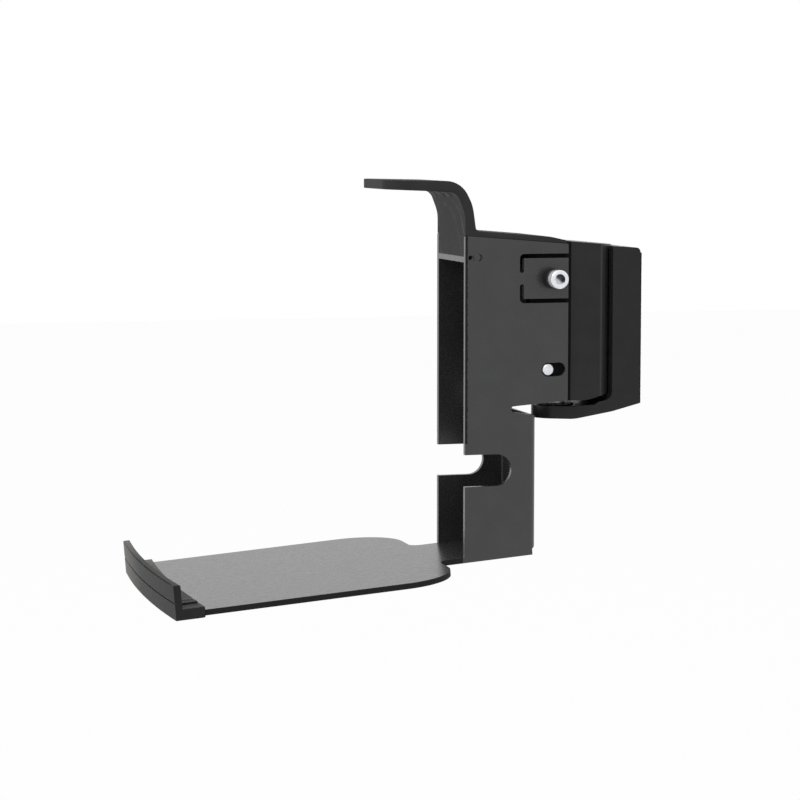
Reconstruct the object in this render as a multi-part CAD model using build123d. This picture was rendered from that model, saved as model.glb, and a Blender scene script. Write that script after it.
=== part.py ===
from build123d import *
from math import acos, atan2, cos, degrees, hypot, radians, sin, sqrt, tan
import os

# Wall bracket for a small loudspeaker, in millimetres.
# X runs towards the wall, whose surface is X = 0. Y runs from the near side to the far side.
# Z is up, and the origin is the middle of the face that lies on the wall.

os.makedirs("parts", exist_ok=True)

# Shapes that cut or trim a solid reach past its faces by this
overshoot = 2.0

# Cradle frame: cut and folded steel sheet, welded into one piece
sheet = 3.0
channel_width = 54.0
front_x = -100.0
flange_top_z = 49.6
flange_top_fall = 4.73
ear_setback = 2.0
ear_bottom_z = -42.3
ear_bottom_rise = 4.5
notch_x = -71.9
notch_height = 3.3
notch_fall = 10.0
notch_relief_radius = 1.6
notch_relief_setback = 0.6
web_rear_x = -59.7
fold_radius = 0.8
web_bottom_chamfer = 3.0
sheet_corner_radius = 0.8

# Floor and tray: one flat plate that slopes down to the front
floor_z = -123.6
floor_slope = 4.59
floor_weld = 0.9
tray_rear = -15.0
tray_width = 153.4
tray_corner_radius = 31.0
neck_fillet = 6.0
tray_tongue_setback = 7.7

# Openings cut in both flanges
cable_slot_top_z = -68.0
cable_slot_height = 17.3
cable_slot_depth = 26.2
tab_slot_width = 2.35
tab_slot_bend = 1.4
tab_height = 26.5
tab_root_x = -69.5
tab_leg = 9.0
weld_slot_length = 8.0
weld_slot_height = 3.0
weld_slot_radius = 1.3
weld_slot_depth = 0.4
weld_slot_setback = 1.6
weld_slot_rise = 1.1

# Cross plate under the top hook
cross_plate_top_z = 38.4
cross_plate_depth = 28.0

# Swivel about an upright axis and tilt about a level axis
swivel_x = -40.0
tilt_x = -51.5
tilt_z = 26.4
tilt_travel = 7.0
pin_drop = 49.4
pin_forward = 1.75
pin_diameter = 6.0
pin_slot_width = 7.4
pin_proud = 0.4

# Cross-headed screws
recess_share = 0.52
recess_width = 0.9
recess_depth = 1.1

# Edges of turned pieces
edge_break = 0.5
thread_chamfer = 0.8

# Lock nuts: a hexagon with a round collar on top
nut_collar_share = 0.26
nut_collar_step = 0.7

# Clearances
running = 0.08
slide = 0.05
screw_fit = 0.05
side_gap = 0.1

# Swivel block
block_radius = 30.1
block_front_x = -62.0
block_bottom_z = -41.4
block_flat_radius = 13.0
block_skirt_radius = 26.0
block_skirt_rise = 1.2
block_corner_rise = 3.4
block_crown = 1.4
block_shoulder_x = -40.2
block_front_drop = 2.6
block_side_chamfer = 0.8
nut_pocket_bottom_z = -12.0
nut_pocket_height = 24.0
nut_pocket_width = 24.0
core_width = 38.0
core_height = 6.0
core_depth = 20.0
core_wall = 3.0
side_core_width = 6.0
side_core_low_z = -35.0
side_core_high_z = 19.0
side_core_depth = 34.0

# Wall arm: one casting with a hollow for the block and an arm under it
cover_top_wall = 6.2
cover_foot_wall = 6.6
cover_side_wall = 5.0
arm_top_rise = 1.1
arm_front_x = -16.5
arm_width = 54.0
arm_corner_radius = 2.5
nose_radius = 13.3
nose_top_z = -44.4
nose_thickness = 6.9
nose_flat_x = -35.0
shoulder_rise = 4.4
shoulder_fillet = 5.0
nose_heel_fillet = 20.0
hollow_clearance = 1.0
gasket_thickness = 0.8
gasket_border = 2.2
gasket_inset = 0.2

# Wall plate, hidden in the back of the casting
plate_thickness = 3.0
plate_height = 72.0
plate_bevel = 1.6
plate_play = 0.25
wall_hole_diameter = 5.2
wall_head_diameter = 10.0
wall_hole_pitch_y = 28.0
wall_hole_pitch_z = 48.0
lock_tab_width = 10.0
lock_tab_reach = 9.5
lock_tab_inset = 1.0
lock_screw_diameter = 4.0
lock_head_diameter = 7.0
lock_head_height = 2.6
lock_screw_length = 6.5
lock_wall = 1.8
head_clearance = 0.3
lock_screw_x = -6.0

# Swivel bolt and its stack
bolt_diameter = 8.0
bolt_head_diameter = 13.0
bolt_head_height = 3.0
bolt_head_inset = 0.3
bolt_socket_flats = 5.0
bolt_socket_depth = 2.0
bolt_end = 1.5
bush_diameter = 11.0
thrust_washer_diameter = 20.0
thrust_washer_thickness = 0.6
spacer_diameter = 10.0
spring_diameter = 16.0
spring_thickness = 0.9
spring_dish = 0.5
swivel_nut_flats = 13.0
swivel_nut_height = 8.0

# Tilt screw and its stack
tilt_screw_diameter = 6.0
tilt_head_diameter = 10.0
tilt_head_height = 6.0
tilt_socket_flats = 5.0
tilt_socket_depth = 3.0
collar_diameter = 11.0
collar_length = 8.0
tilt_washer_diameter = 12.0
tilt_washer_thickness = 1.6
tilt_nut_flats = 10.0
tilt_nut_height = 6.0
tilt_screw_end = 1.4

# Top hook: moulded arm, bend, tongue and cap in one
hook_tip_x = -143.8
hook_under_z = 73.0
hook_under_rise = 2.4
hook_over_z = 78.8
hook_over_rise = 1.2
hook_wall = 5.3
hook_bend_x = -109.0
hook_inner_elbow_x = -104.6
hook_inner_elbow_radius = 6.5
hook_inner_knee_z = 60.8
hook_inner_knee_radius = 19.2
hook_outer_elbow_x = -103.0
hook_outer_elbow_radius = 13.6
hook_outer_knee_x = -96.35
hook_outer_knee_z = 66.2
hook_outer_knee_radius = 23.5
hook_foot_z = 55.4
hook_tip_radius = 5.0
hook_cap_thickness = 3.1
hook_cap_end_thickness = 1.8
hook_cap_dip = 9.0
hook_cap_end_x = -43.0
hook_cap_end_radius = 1.2
hook_cap_fillet = 2.2
hook_dip_radius = 20.0
hook_neck_step = 0.3
hook_edge = 0.6
tongue_depth = 24.0
tongue_play = 0.1
groove_pitch = 14.5
groove_count = 3
groove_width = 1.2
groove_depth = 0.6
hook_screw_diameter = 4.0
hook_screw_length = 12.0
hook_hole_play = 0.2
hook_hole_spare = 0.5
hook_screw_pitch = 28.0
hook_screw_setback = 13.0
pan_head_diameter = 7.5
pan_head_height = 2.6
pan_head_bevel = 0.8

# Front lip: moulded clip on the front edge of the tray
lip_front = -171.0
lip_bow = 3.2
lip_overhang = 0.5
lip_wall = 3.7
lip_depth = 15.1
lip_bottom_wall = 0.9
lip_foot_proud = 1.7
lip_pad_step = 0.8
lip_pad_inset = 12.5
lip_pad_setback = 0.3
lip_dish_diameter = 9.0
lip_dish_depth = 0.4
lip_end_step = 0.3
lip_height = 14.1
lip_edge = 0.6
lip_heel = 1.0
lip_groove_height = 9.2
lip_groove_width = 0.8
lip_groove_depth = 0.5
lip_screw_diameter = 4.0
lip_screw_pitch = 112.0
lip_screw_setback = 13.0
lip_screw_length = 5.6
lip_head_diameter = 6.6
lip_hole_play = 0.5
lip_play = 0.2

# Places worked out from the sizes above
lip_width = tray_width + 2 * lip_overhang
plate_width = arm_width - 2 * cover_side_wall
lock_pitch = plate_width - lock_tab_width - 2 * lock_tab_inset
tongue_width = tray_width - 2 * tray_tongue_setback
arm_top_z = plate_height / 2 + cover_top_wall
arm_foot_z = -plate_height / 2 - cover_foot_wall
half_width = channel_width / 2
inner_half = half_width - sheet
ear_rear_x = swivel_x - ear_setback
pin_x = tilt_x - pin_forward
pin_z = tilt_z - sqrt(pin_drop**2 - pin_forward**2)
web_front_x = web_rear_x - sheet
floor_rear_x = web_front_x + floor_weld
spacer_bottom_z = nose_top_z + thrust_washer_thickness + slide
block_half = inner_half - side_gap
nose_bottom_z = nose_top_z - nose_thickness


def flange_top(x):
    """Height of the sloping top edge of the flanges."""
    return flange_top_z - (x - front_x) * tan(radians(flange_top_fall))


def floor_top(x):
    """Height of the top surface of the floor."""
    return floor_z + (x - front_x) * tan(radians(floor_slope))


def on_tray(shape):
    """Turns a shape drawn on a level tray down to the tray's slope."""
    return Pos(front_x, 0, floor_z) * Rot(0, -floor_slope, 0) * shape


def across(profile, width, middle=0.0):
    """Gives a side profile, drawn in X and Z, a width across Y."""
    solid = extrude(Plane.XZ * profile, amount=width / 2, both=True)
    return Pos(0, middle, 0) * solid


def raised(face, low, high):
    """An upright solid between two heights."""
    return Pos(0, 0, low) * extrude(face, amount=high - low)


def outline(points):
    """A closed face from the corners of its outline."""
    return make_face(Polyline(*points, close=True))


def corner(face, x, y):
    """The corner of a flat face that lies nearest to a point."""
    return face.vertices().sort_by_distance((x, y, 0))[0]


def rod_y(diameter, y_from, y_to, x, z):
    """A round bar along Y."""
    bar = Cylinder(diameter / 2, abs(y_to - y_from))
    return Pos(x, (y_from + y_to) / 2, z) * Rot(90, 0, 0) * bar


def rod_z(diameter, z_from, z_to, x, y):
    """A round bar along Z."""
    return Pos(x, y, (z_from + z_to) / 2) * Cylinder(diameter / 2, abs(z_to - z_from))


def hex_bar(flats, length):
    """An upright hexagonal bar that starts at Z = 0."""
    return extrude(RegularPolygon(flats / sqrt(3), 6), amount=length)


def hex_nut(flats, height, bore):
    """A lock nut with chamfered corners, standing on Z = 0."""
    upright = (Align.CENTER, Align.CENTER, Align.MIN)
    collar_z = height * (1 - nut_collar_share)
    nut = hex_bar(flats, collar_z) & Cone(flats / 2 + collar_z, flats / 2, collar_z, align=upright)
    nut += Cylinder(flats / 2 - nut_collar_step, height, align=upright)
    return nut - Cylinder(bore / 2, 2 * (height + overshoot))


def save(shape, node):
    """Writes one named piece of the bracket."""
    shape.label = node
    export_step(shape, f"parts/{node}.step")


def tab_slots():
    """The two bent slots that leave a springing tab round the tilt screw."""
    cut = []
    x = tab_root_x + tab_slot_width / 2
    for side in (1, -1):
        run_z = tilt_z + side * (tab_height - tab_slot_width) / 2
        end_z = tilt_z + side * (tab_height / 2 - tab_leg)
        path = FilletPolyline((x, end_z), (x, run_z), (ear_rear_x + overshoot, run_z), radius=tab_slot_bend)
        cut.append(trace(path, tab_slot_width) + Pos(x, end_z) * Circle(tab_slot_width / 2))
    return cut


def pin_slot():
    """The curved slot in which the guide pin stops the tilt."""
    start = degrees(atan2(pin_z - tilt_z, pin_x - tilt_x))
    arc = CenterArc((tilt_x, tilt_z), pin_drop, start, tilt_travel)
    cut = trace(arc, pin_slot_width)
    for place in (arc @ 0, arc @ 1):
        cut += Pos(place.X, place.Y) * Circle(pin_slot_width / 2)
    return cut


def flange_face():
    """The flat outline of one flange, with every opening in it."""
    ear_z = ear_bottom_z + (ear_rear_x - notch_x) * tan(radians(ear_bottom_rise))
    face = outline([
        (front_x, flange_top(front_x)),
        (ear_rear_x, flange_top(ear_rear_x)),
        (ear_rear_x, ear_z),
        (notch_x, ear_bottom_z),
        (notch_x, step_top(notch_x)),
        (web_rear_x, step_top(web_rear_x)),
        (web_rear_x, floor_top(web_rear_x)),
        (front_x, floor_top(front_x)),
    ])
    rounded = [corner(face, front_x, flange_top_z), corner(face, ear_rear_x, flange_top(ear_rear_x)),
               corner(face, ear_rear_x, ear_z)]
    face = fillet(rounded, sheet_corner_radius)
    relief = Pos(notch_x - notch_relief_setback, ear_bottom_z - notch_height / 2)
    face -= relief * Circle(notch_relief_radius)
    slot_radius = cable_slot_height / 2
    slot_z = cable_slot_top_z - slot_radius
    straight = cable_slot_depth - slot_radius + overshoot
    face -= Pos(front_x - overshoot + straight / 2, slot_z) * Rectangle(straight, cable_slot_height)
    face -= Pos(front_x + cable_slot_depth - slot_radius, slot_z) * Circle(slot_radius)
    for slot in tab_slots():
        face -= slot
    face -= Pos(tilt_x, tilt_z) * Circle(tilt_screw_diameter / 2 + running)
    face -= pin_slot()
    return face


def step_top(x):
    """Height of the lower channel's top edge, behind the notch."""
    return ear_bottom_z - notch_height - (x - notch_x) * tan(radians(notch_fall))


def folded_rear():
    """The web, with the rounded folds that join it to the two flanges."""
    depth = web_rear_x - notch_x
    outer = Pos(notch_x + depth / 2, 0) * Rectangle(depth, channel_width)
    inner = Pos(notch_x + (depth - sheet) / 2, 0) * Rectangle(depth - sheet, 2 * inner_half)
    outer = fillet([corner(outer, web_rear_x, half_width), corner(outer, web_rear_x, -half_width)],
                   fold_radius + sheet)
    inner = fillet([corner(inner, web_front_x, inner_half), corner(inner, web_front_x, -inner_half)],
                   fold_radius)
    foot_z = floor_top(notch_x)
    plan = Pos(0, 0, foot_z) * extrude(outer - inner, amount=ear_bottom_z - foot_z)
    side = outline([
        (notch_x, step_top(notch_x)),
        (web_rear_x, step_top(web_rear_x)),
        (web_rear_x, floor_top(web_rear_x) + web_bottom_chamfer / 2),
        (floor_rear_x, floor_top(floor_rear_x)),
        (notch_x, foot_z),
    ])
    return plan & across(side, channel_width)


def tray_plate():
    """The floor of the channel and the tray, cut from one sheet."""
    floor_end = (floor_rear_x - front_x) / cos(radians(floor_slope))
    tray_front = lip_front + lip_bow + lip_wall
    shoulder = lip_front + lip_bow + lip_depth + lip_play
    half_tray = tray_width / 2
    half_tongue = tongue_width / 2
    face = outline([
        (floor_end, half_width),
        (tray_rear, half_width),
        (tray_rear, half_tray),
        (shoulder, half_tray),
        (shoulder, half_tongue),
        (tray_front, half_tongue),
        (tray_front, -half_tongue),
        (shoulder, -half_tongue),
        (shoulder, -half_tray),
        (tray_rear, -half_tray),
        (tray_rear, -half_width),
        (floor_end, -half_width),
    ])
    for side in (1, -1):
        face = fillet(corner(face, tray_rear, side * half_tray), tray_corner_radius)
        face = fillet(corner(face, tray_rear, side * half_width), neck_fillet)
    for side in (1, -1):
        hole = Pos(lip_front + lip_screw_setback, side * lip_screw_pitch / 2)
        face -= hole * Circle(lip_screw_diameter / 2 + lip_hole_play)
    return on_tray(extrude(face, amount=-sheet))


def cradle_frame():
    """Two flanges, the web between them, the cross plate, and the floor that runs on into the tray."""
    face = flange_face()
    flanges = across(face, sheet, half_width - sheet / 2) + across(face, sheet, sheet / 2 - half_width)
    fold = fold_radius + sheet
    fold_top = (step_top(web_rear_x - fold) + ear_bottom_z) / 2
    fold_foot = floor_top(front_x) - overshoot
    rear = Box(2 * fold, 2 * channel_width, fold_top - fold_foot)
    rear = Pos(web_rear_x, 0, (fold_top + fold_foot) / 2) * rear
    frame = (flanges - rear) + (folded_rear() & rear)
    plate_x = front_x + cross_plate_depth / 2
    plate_z = cross_plate_top_z - sheet / 2
    frame += Pos(plate_x, 0, plate_z) * Box(cross_plate_depth, 2 * inner_half, sheet)
    for side in (1, -1):
        hole_x = front_x + hook_screw_setback
        frame -= rod_z(hook_screw_diameter + 2 * hook_hole_play, plate_z - sheet, plate_z + sheet,
                       hole_x, side * hook_screw_pitch / 2)
        mark = RectangleRounded(weld_slot_length, weld_slot_height, weld_slot_radius)
        mark_z = cross_plate_top_z - sheet / 2 + weld_slot_rise
        mark = Pos(front_x + weld_slot_setback + weld_slot_length / 2, mark_z) * mark
        frame -= across(mark, 2 * weld_slot_depth, side * half_width)
    return frame + tray_plate()


def hook_profile():
    """Side view of the hook above the flanges: arm, bend, upright and cap."""
    under = tan(radians(hook_under_rise))
    over = tan(radians(hook_over_rise))
    dip_x = hook_cap_end_x - hook_cap_dip
    neck_x = front_x + hook_wall + hook_neck_step
    tip_under = (hook_tip_x, hook_under_z + (hook_bend_x - hook_tip_x) * under)
    tip_over = (hook_tip_x, hook_over_z + (hook_bend_x - hook_tip_x) * over)
    inner_elbow = (hook_inner_elbow_x, hook_under_z - (hook_inner_elbow_x - hook_bend_x) * under)
    inner_knee = (front_x, hook_inner_knee_z)
    cap_end = (hook_cap_end_x, flange_top(hook_cap_end_x))
    cap_edge = (hook_cap_end_x, flange_top(hook_cap_end_x) + hook_cap_end_thickness)
    dip = (dip_x, flange_top(dip_x) + hook_cap_thickness)
    neck = (neck_x, flange_top(neck_x) + hook_cap_thickness)
    outer_knee = (hook_outer_knee_x, hook_outer_knee_z)
    outer_elbow = (hook_outer_elbow_x, hook_over_z - (hook_outer_elbow_x - hook_bend_x) * over)
    face = outline([tip_under, inner_elbow, inner_knee, (front_x, flange_top(front_x)), cap_end, cap_edge,
                    dip, neck, outer_knee, outer_elbow, tip_over])
    rounded = [
        (inner_elbow, hook_inner_elbow_radius),
        (inner_knee, hook_inner_knee_radius),
        (cap_edge, hook_cap_end_radius),
        (dip, hook_dip_radius),
        (neck, hook_cap_fillet),
        (outer_knee, hook_outer_knee_radius),
        (outer_elbow, hook_outer_elbow_radius),
    ]
    for place, radius in rounded:
        face = fillet(corner(face, *place), radius)
    return face


def top_hook():
    """The moulded hook that holds the loudspeaker from above and caps the channel."""
    length = hook_cap_end_x - hook_tip_x
    plan = Pos(hook_tip_x + length / 2, 0) * Rectangle(length, channel_width)
    for side in (1, -1):
        plan = fillet(corner(plan, hook_tip_x, side * half_width), hook_tip_radius)
    hook = across(hook_profile(), channel_width) & extrude(plan, amount=2 * hook_over_z)
    rims = []
    for edge in hook.edges():
        middle = edge @ 0.5
        rise = abs((edge @ 1).Z - (edge @ 0).Z)
        at_tip = middle.X < hook_tip_x + hook_tip_radius
        if abs(middle.Y) > half_width - hook_edge or at_tip and rise < hook_edge:
            rims.append(edge)
    hook = chamfer(rims, hook_edge)
    tongue = outline([
        (front_x, cross_plate_top_z),
        (front_x + tongue_depth, cross_plate_top_z),
        (front_x + tongue_depth, flange_top(front_x + tongue_depth) + hook_edge),
        (front_x, flange_top(front_x) + hook_edge),
    ])
    hook += across(tongue, 2 * (inner_half - tongue_play))
    skin = hook_profile()
    skin -= Pos(groove_depth, groove_depth) * skin
    reach = front_x - hook_tip_x - groove_depth
    skin &= Pos(front_x - reach / 2, hook_foot_z + reach / 2) * Rectangle(reach + 2 * groove_depth, reach)
    for number in range(groove_count):
        y = (number - (groove_count - 1) / 2) * groove_pitch
        hook -= across(skin, groove_width, y)
    for side in (1, -1):
        hole_top = cross_plate_top_z - sheet + hook_screw_length + hook_hole_spare
        hook -= rod_z(hook_screw_diameter + 2 * screw_fit, cross_plate_top_z - sheet, hole_top,
                      front_x + hook_screw_setback, side * hook_screw_pitch / 2)
    return hook


def cross_recess(head_diameter):
    """The cross cut in a screw head, about Z = 0."""
    arm = head_diameter * recess_share
    return Box(arm, recess_width, 2 * recess_depth) + Box(recess_width, arm, 2 * recess_depth)


def pan_screw(diameter, length, head_diameter, head_height):
    """A round-headed cross-recess screw, head down, with its seat at Z = 0."""
    head = Pos(0, 0, -head_height / 2) * Cylinder(head_diameter / 2, head_height)
    head = chamfer(head.edges().group_by(Axis.Z)[0], pan_head_bevel)
    shank = Pos(0, 0, length / 2) * Cylinder(diameter / 2, length)
    return head + shank - Pos(0, 0, -head_height) * cross_recess(head_diameter)


def hook_screws():
    """Two screws that pull the hook down on the cross plate from below."""
    screw = pan_screw(hook_screw_diameter, hook_screw_length, pan_head_diameter, pan_head_height)
    seat_z = cross_plate_top_z - sheet
    x = front_x + hook_screw_setback
    return [Pos(x, side * hook_screw_pitch / 2, seat_z) * screw for side in (1, -1)]


def lip_band(front, back, width):
    """Plan of a strip that follows the bowed front of the lip."""
    radius = ((lip_width / 2) ** 2 + lip_bow**2) / (2 * lip_bow)
    middle = Pos(lip_front + radius, 0)
    band = middle * Circle(radius - front) - middle * Circle(radius - back)
    return band & (Pos(lip_front, 0) * Rectangle(lip_width, width))


def front_lip():
    """The bowed lip: a slot takes the edge of the tray, and the upright stops the loudspeaker."""
    bottom = -sheet - lip_bottom_wall
    groove_z = bottom + lip_groove_height
    pad_top = lip_foot_proud + lip_pad_step
    lip = raised(lip_band(0, lip_wall, lip_width), bottom, groove_z)
    upper = raised(lip_band(0, lip_wall, lip_width - 2 * lip_end_step), bottom, lip_height)
    lip += fillet(upper.edges().group_by(Axis.Z)[-1], lip_edge)
    foot = raised(lip_band(0, lip_depth, lip_width), bottom, lip_foot_proud)
    lip += fillet(foot.edges().group_by(Axis.Z)[0].sort_by(Axis.X)[-1], lip_heel)
    pad = lip_band(0, lip_depth - lip_pad_setback, lip_width - 2 * lip_pad_inset)
    lip += raised(pad, 0, pad_top)
    tray_front = lip_front + lip_bow + lip_wall
    lip -= Pos(tray_front + lip_depth, 0, -sheet / 2) * Box(2 * lip_depth, tongue_width, sheet)
    groove = lip_band(-lip_groove_depth, lip_groove_depth, lip_width + 2 * lip_groove_depth)
    lip -= raised(groove, groove_z - lip_groove_width, groove_z)
    for side in (1, -1):
        place = Pos(lip_front + lip_screw_setback, side * lip_screw_pitch / 2)
        lip -= place * Pos(0, 0, pad_top) * Cylinder(lip_dish_diameter / 2, 2 * lip_dish_depth)
        lip -= place * Pos(0, 0, bottom) * lip_screw_shape(screw_fit)
    return on_tray(lip)


def lip_screw_shape(extra):
    """A countersunk screw, head down on Z = 0, or the hole for it when made larger."""
    radius = lip_screw_diameter / 2
    head = lip_head_diameter / 2
    upright = (Align.CENTER, Align.CENTER, Align.MIN)
    cone = Cone(head + extra, radius + extra, head - radius, align=upright)
    return cone + Cylinder(radius + extra, lip_screw_length + extra, align=upright)


def lip_screws():
    """Two countersunk screws that hold the lip to the tray from below."""
    bottom = -sheet - lip_bottom_wall
    screw = lip_screw_shape(0)
    screw -= cross_recess(lip_head_diameter)
    x = lip_front + lip_screw_setback
    return [on_tray(Pos(x, side * lip_screw_pitch / 2, bottom) * screw) for side in (1, -1)]


def drum(extra):
    """The turned outline of the block about the swivel axis, or the hollow round it when made larger."""
    low = nose_top_z if extra else block_bottom_z
    face = outline([
        (0, low),
        (block_flat_radius + extra, low),
        (block_skirt_radius + extra, low + block_skirt_rise),
        (block_radius + extra, low + block_corner_rise + extra),
        (block_radius + extra, flange_top_z + overshoot),
        (0, flange_top_z + overshoot),
    ])
    return Pos(swivel_x, 0, 0) * revolve(Plane.XZ * face, Axis.Z)


def block_top_profile():
    """Side view of the block: a raised rear flush with the cap, and a lower front under it."""
    rear_x = swivel_x + block_radius + overshoot
    return outline([
        (block_front_x, block_bottom_z - overshoot),
        (rear_x, block_bottom_z - overshoot),
        (rear_x, flange_top(rear_x) + block_crown),
        (block_shoulder_x, flange_top(block_shoulder_x) + block_crown),
        (block_shoulder_x, flange_top(block_shoulder_x) - block_front_drop),
        (block_front_x, flange_top(block_front_x) - block_front_drop),
    ])


def swivel_block():
    """The casting that turns on the arm and carries the tilt screw between the flanges."""
    block = drum(0) & across(block_top_profile(), 2 * block_half)
    sides = outline([
        (-block_half, flange_top_z),
        (-block_half, block_bottom_z + block_side_chamfer),
        (block_side_chamfer - block_half, block_bottom_z),
        (block_half - block_side_chamfer, block_bottom_z),
        (block_half, block_bottom_z + block_side_chamfer),
        (block_half, flange_top_z),
    ])
    block &= Pos(swivel_x, 0, 0) * extrude(Plane.YZ * sides, amount=2 * block_radius, both=True)
    bore = bolt_diameter + 2 * screw_fit
    block -= rod_z(bore, block_bottom_z - overshoot, nut_pocket_bottom_z + overshoot, swivel_x, 0)
    pocket_end = swivel_x + swivel_nut_flats
    pocket_start = block_front_x - overshoot
    pocket_z = nut_pocket_bottom_z + nut_pocket_height / 2
    pocket = Box(pocket_end - pocket_start, nut_pocket_width, nut_pocket_height)
    block -= Pos((pocket_start + pocket_end) / 2, 0, pocket_z) * pocket
    block -= rod_y(tilt_screw_diameter + 2 * screw_fit, -channel_width, channel_width, tilt_x, tilt_z)
    block -= rod_y(pin_diameter, -channel_width, channel_width, pin_x, pin_z)
    core_z = tilt_z + tilt_screw_diameter + core_height / 2
    block -= Pos(block_front_x, 0, core_z) * Box(2 * core_depth, core_width, core_height)
    side_y = block_half - core_wall - side_core_width / 2
    side_z = (side_core_low_z + side_core_high_z) / 2
    side_core = Box(2 * side_core_depth, side_core_width, side_core_high_z - side_core_low_z)
    for side in (1, -1):
        block -= Pos(block_front_x, side * side_y, side_z) * side_core
    return block


def spindle_spacer():
    """The bright sleeve that sets the height of the block over the arm."""
    ring = rod_z(spacer_diameter, spacer_bottom_z, block_bottom_z, swivel_x, 0)
    return ring - rod_z(bolt_diameter + 2 * screw_fit, nose_bottom_z, 0, swivel_x, 0)


def swivel_bolt():
    """The low-headed bolt that comes up through the arm from below."""
    head_bottom = nose_bottom_z + bolt_head_inset
    seat_z = head_bottom + bolt_head_height
    end_z = nut_pocket_bottom_z + 2 * (spring_thickness + spring_dish) + swivel_nut_height + bolt_end
    head = rod_z(bolt_head_diameter, head_bottom, seat_z, swivel_x, 0)
    head = chamfer(head.edges().group_by(Axis.Z)[0], edge_break)
    shank = rod_z(bolt_diameter, seat_z, end_z, swivel_x, 0)
    shank = chamfer(shank.edges().group_by(Axis.Z)[-1], thread_chamfer)
    socket = Pos(swivel_x, 0, head_bottom) * hex_bar(bolt_socket_flats, bolt_socket_depth)
    return head + shank - socket


def disc_springs():
    """Two dished spring washers, back to back, that keep the swivel stiff."""
    inner = bolt_diameter / 2 + 2 * screw_fit
    outer = spring_diameter / 2
    rise = spring_dish
    face = outline([(inner, rise), (outer, 0), (outer, spring_thickness), (inner, rise + spring_thickness)])
    disc = revolve(Plane.XZ * face, Axis.Z)
    stack = spring_thickness + spring_dish
    lower = Pos(swivel_x, 0, nut_pocket_bottom_z) * disc
    upper = Pos(swivel_x, 0, nut_pocket_bottom_z + 2 * stack) * Rot(180, 0, 0) * disc
    return [lower, upper]


def swivel_nut():
    """The lock nut on the swivel bolt."""
    z = nut_pocket_bottom_z + 2 * (spring_thickness + spring_dish)
    nut = hex_nut(swivel_nut_flats, swivel_nut_height, bolt_diameter + 2 * screw_fit)
    return Pos(swivel_x, 0, z) * nut


def arm_side_profile():
    """Side view of the casting, from the wall to the nose of the arm."""
    back_x = -gasket_thickness
    front_top = arm_top_z + arm_top_rise
    nose_x = swivel_x - nose_radius
    face = outline([
        (back_x, arm_top_z),
        (arm_front_x, front_top),
        (arm_front_x, nose_top_z + shoulder_rise),
        (nose_flat_x, nose_top_z),
        (nose_x - overshoot, nose_top_z),
        (nose_x - overshoot, nose_bottom_z),
        (nose_flat_x, nose_bottom_z),
        (back_x, arm_foot_z),
    ])
    face = fillet([corner(face, back_x, arm_top_z)], arm_corner_radius)
    face = fillet([corner(face, arm_front_x, nose_top_z + shoulder_rise)], shoulder_fillet)
    return fillet([corner(face, nose_flat_x, nose_bottom_z)], nose_heel_fillet)


def arm_plan():
    """Plan of the casting: a straight back that narrows to the round nose."""
    back_x = -gasket_thickness
    half = arm_width / 2
    reach_x = arm_front_x - swivel_x
    reach = hypot(reach_x, half)
    turn = atan2(half, reach_x) + acos(nose_radius / reach)
    touch_x = swivel_x + nose_radius * cos(turn)
    touch_y = nose_radius * sin(turn)
    return outline([
        (back_x, half),
        (arm_front_x, half),
        (touch_x, touch_y),
        (touch_x, -touch_y),
        (arm_front_x, -half),
        (back_x, -half),
    ]) + Pos(swivel_x, 0) * Circle(nose_radius)


def plate_blank(play):
    """The wall plate's flat with a bevelled top edge, or the pocket for it when made larger."""
    half_height = plate_height / 2 + play
    depth = plate_thickness + play
    face = outline([
        (0, half_height - plate_bevel),
        (-plate_bevel, half_height),
        (-depth, half_height),
        (-depth, -half_height),
        (0, -half_height),
    ])
    return across(face, plate_width + 2 * play)


def lock_tabs(play):
    """The two tabs folded forward at the foot of the wall plate."""
    tabs = []
    foot_z = -plate_height / 2
    for side in (1, -1):
        tab = Box(lock_tab_reach + play, lock_tab_width + 2 * play, plate_thickness + play)
        x = -(lock_tab_reach + play) / 2
        tabs.append(Pos(x, side * lock_pitch / 2, foot_z + (plate_thickness + play) / 2) * tab)
    return tabs


def wall_plate():
    """The steel plate that is screwed to the wall and stays hidden."""
    plate = plate_blank(0)
    for tab in lock_tabs(0):
        plate += tab
    for y_side in (1, -1):
        for z_side in (1, -1):
            y = y_side * wall_hole_pitch_y / 2
            z = z_side * wall_hole_pitch_z / 2
            hole = Rot(0, 90, 0) * Cylinder(wall_hole_diameter / 2, 2 * plate_thickness)
            hole = Pos(-plate_thickness / 2, y, z) * hole
            sink_depth = (wall_head_diameter - wall_hole_diameter) / 2
            sink = Cone(wall_head_diameter / 2, wall_hole_diameter / 2, sink_depth)
            sink = Pos(-plate_thickness + sink_depth / 2, y, z) * Rot(0, 90, 0) * sink
            plate -= hole + sink
    for side in (1, -1):
        z = -plate_height / 2 + plate_thickness / 2
        plate -= rod_z(lock_screw_diameter + 2 * screw_fit, z - plate_thickness, z + plate_thickness,
                       lock_screw_x, side * lock_pitch / 2)
    return plate


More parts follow.
